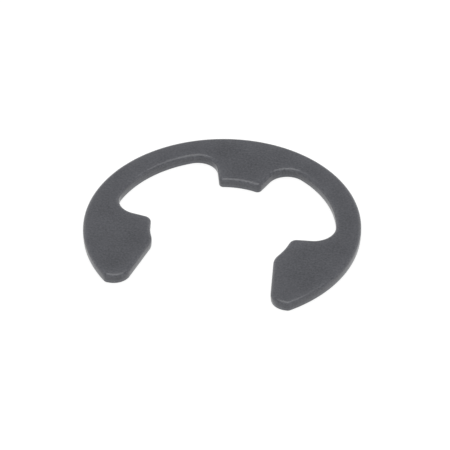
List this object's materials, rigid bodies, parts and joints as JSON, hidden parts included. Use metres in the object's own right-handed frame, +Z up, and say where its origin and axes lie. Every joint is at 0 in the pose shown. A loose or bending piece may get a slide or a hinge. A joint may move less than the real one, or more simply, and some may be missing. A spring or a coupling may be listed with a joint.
{
  "type": "e clip",
  "caption": "Flat spring-steel retaining ring, stamped in an E shape with a central prong and a side mouth, that snaps sideways into a groove on a shaft.",
  "frame": {"origin": "on the underside, at the centre of the seat circle, so on the axis of the shaft that the ring grips", "axes": "+X to the right jaw, +Y to the central prong and away from the mouth, +Z up along the shaft, out of the rounded upper face; the ring lies flat on its underside"},
  "size_m": [0.033, 0.0286, 0.0013],
  "materials": {
    "phosphated_spring_steel": "dark grey phosphate over hardened spring steel, tumbled and lightly oiled, matte"
  },
  "bodies": {
    "root": {"e_clip": "phosphated_spring_steel"}
  },
  "joints": []
}
